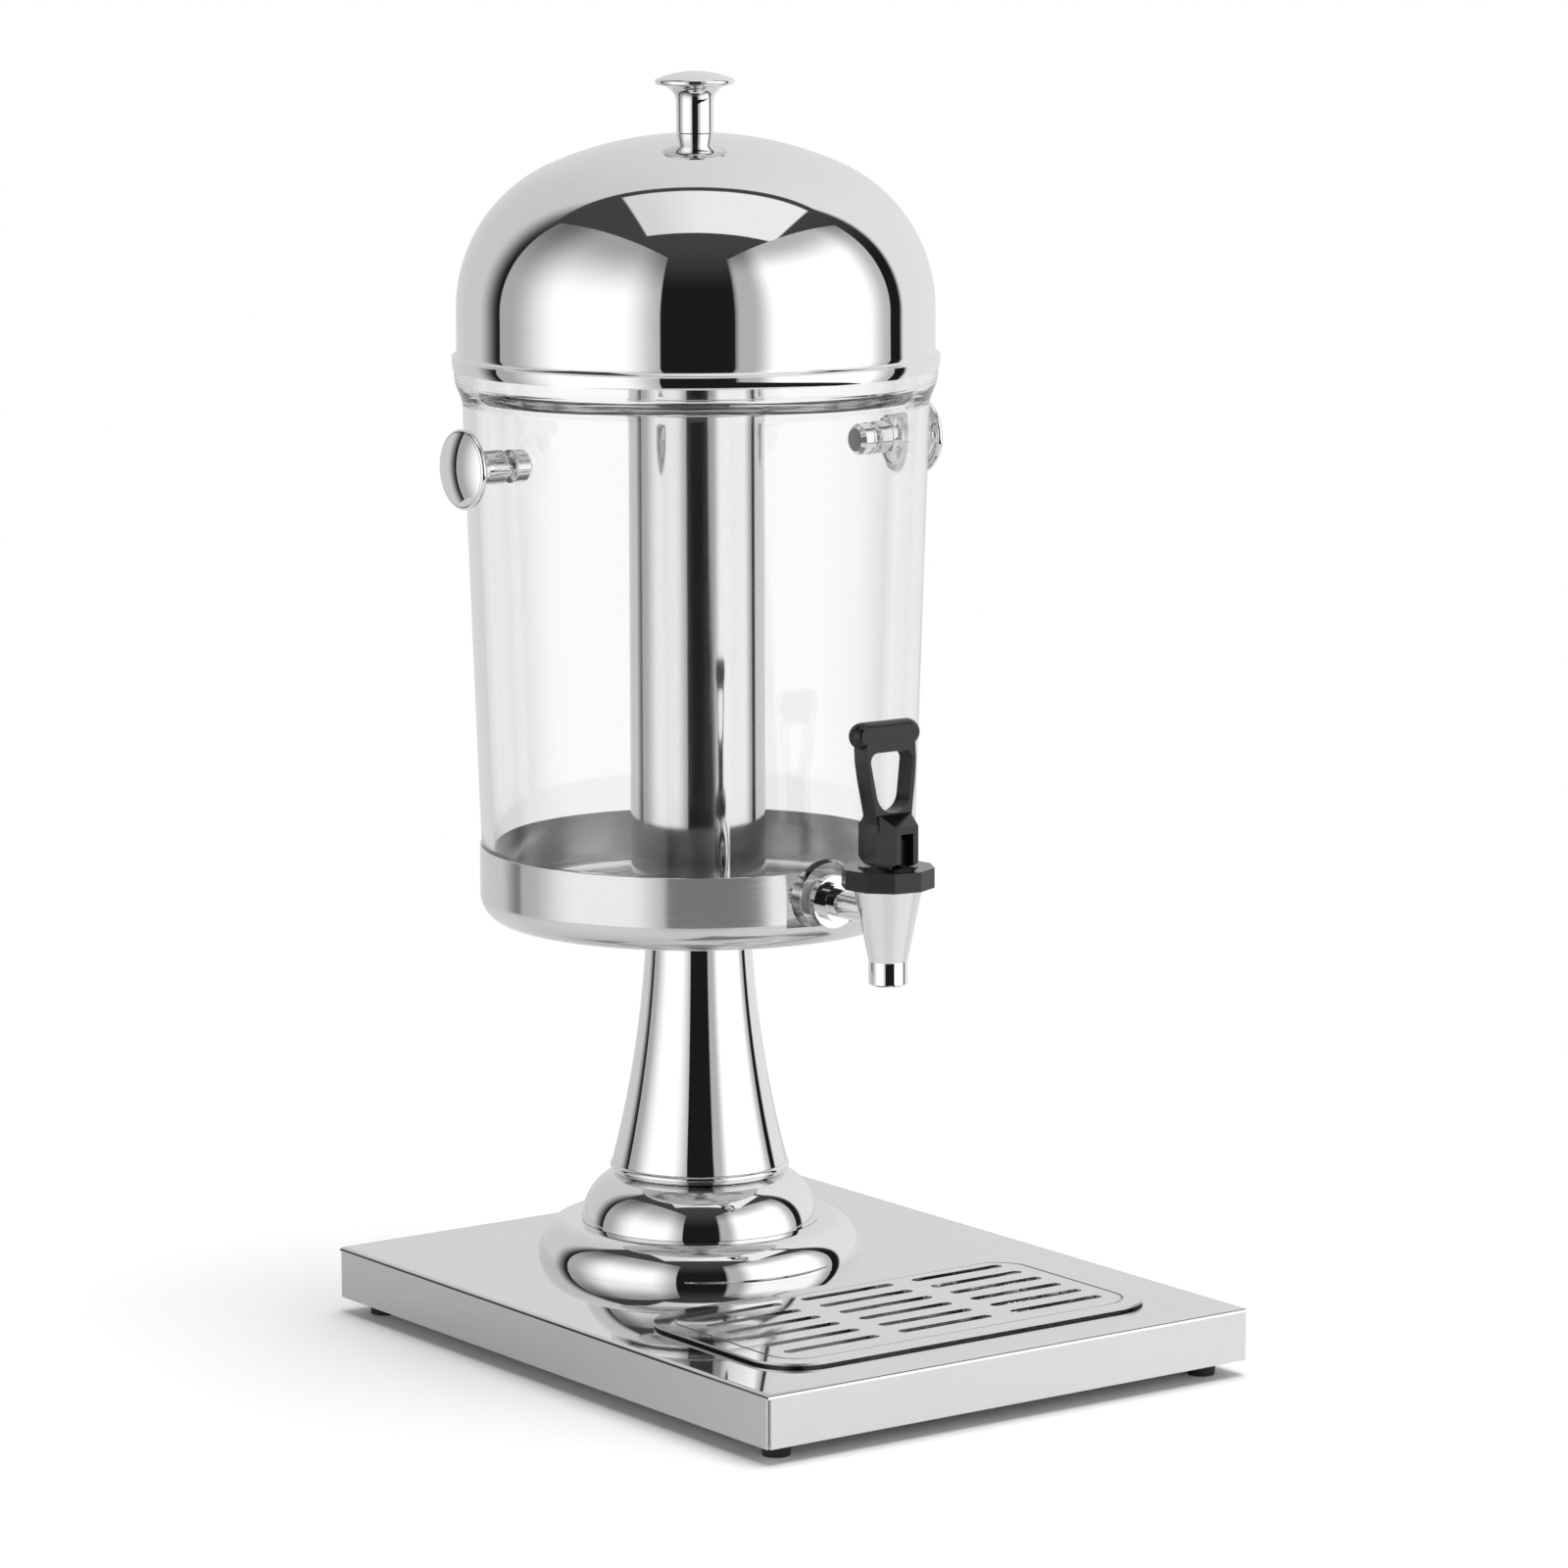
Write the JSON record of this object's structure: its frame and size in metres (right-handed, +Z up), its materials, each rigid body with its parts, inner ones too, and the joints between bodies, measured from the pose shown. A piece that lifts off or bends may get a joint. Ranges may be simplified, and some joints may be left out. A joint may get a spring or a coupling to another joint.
{
  "type": "countertop drink dispenser",
  "caption": "Clear bowl in a steel pan on a pedestal base, with a domed lid, an ice tube, a lever tap and a slotted drip tray.",
  "frame": {"origin": "on the floor, under the middle of the whole object's outline, which is 3.3 mm behind the middle of the base plate", "axes": "+X to the right hand side knob seen from behind the tap, +Y to the back, the tap faces -Y, +Z up"},
  "size_m": [0.26, 0.3446, 0.5677],
  "materials": {
    "base_sheet": "polished folded stainless sheet",
    "tray_steel": "bright satin stainless sheet",
    "polished_steel": "mirror polished stainless",
    "pan_steel": "satin stainless, brushed round",
    "tube_steel": "bright drawn stainless tube",
    "chrome": "chromed",
    "zinc_steel": "plain steel hardware",
    "rubber": "black moulded rubber",
    "silicone": "soft grey sealing ring",
    "clear_plastic": "clear moulded plastic",
    "white_plastic": "white moulded plastic",
    "collar_plastic": "black satin plastic",
    "lever_plastic": "black moulded plastic with a fine texture"
  },
  "bodies": {
    "base": {"base_pan": "base_sheet", "base_stiffener": "zinc_steel", "foot_front_left": "rubber", "foot_front_right": "rubber", "foot_back_left": "rubber", "foot_back_right": "rubber", "foot_screws": "zinc_steel", "foot_nuts": "zinc_steel", "pedestal_foot": "polished_steel", "pedestal_tier": "polished_steel", "pedestal_bead": "polished_steel", "pedestal_column": "polished_steel", "column_seat": "zinc_steel", "tie_rod": "zinc_steel", "tie_rod_nuts": "zinc_steel"},
    "tray": {"drip_tray": "tray_steel"},
    "grille": {"drip_grille": "tray_steel"},
    "bowl": {"bowl_pan": "pan_steel", "pan_spigot": "pan_steel", "bowl_gasket": "silicone", "bowl": "clear_plastic", "ice_tube": "tube_steel", "ice_tube_gasket": "silicone", "ice_tube_stud": "zinc_steel", "ice_tube_nut": "zinc_steel", "knob_left": "chrome", "knob_right": "chrome", "knob_washers": "white_plastic", "knob_nuts": "chrome", "tap_body": "chrome", "tap_flange": "chrome", "tap_gasket": "silicone", "tap_back_nut": "white_plastic", "tap_collar": "collar_plastic"},
    "valve": {"valve_stem": "zinc_steel", "seat_cup": "silicone", "valve_spring": "zinc_steel", "lever_pin": "zinc_steel"},
    "lever": {"tap_lever": "lever_plastic"},
    "lid": {"lid_dome": "polished_steel", "lid_knob": "chrome", "lid_nut": "zinc_steel"}
  },
  "joints": [
    {"name": "bowl_lift", "type": "slide", "parent": "base", "child": "bowl", "axis": [0, 0, 1], "range_m": [0, 0.06]},
    {"name": "lid_lift", "type": "slide", "parent": "bowl", "child": "lid", "axis": [0, 0, 1], "range_m": [0, 0.06]},
    {"name": "tray_lift", "type": "slide", "parent": "base", "child": "tray", "axis": [0, 0, 1], "range_m": [0, 0.06]},
    {"name": "grille_lift", "type": "slide", "parent": "tray", "child": "grille", "axis": [0, 0, 1], "range_m": [0, 0.06]},
    {"name": "valve_lift", "type": "slide", "parent": "bowl", "child": "valve", "axis": [0, 0, 1], "range_m": [0, 0.0035], "stiffness_N_per_m": 150, "springref_m": -0.012, "deforming": ["valve_spring"]},
    {"name": "tap_lever", "type": "hinge", "parent": "valve", "child": "lever", "pos_m": [0, -0.0813, 0.2361], "axis": [1, 0, 0], "range_deg": [0, 25]}
  ],
  "couplings": [
    {"joint": "valve_lift", "follows": "tap_lever", "m_per_rad": 0.007735}
  ]
}
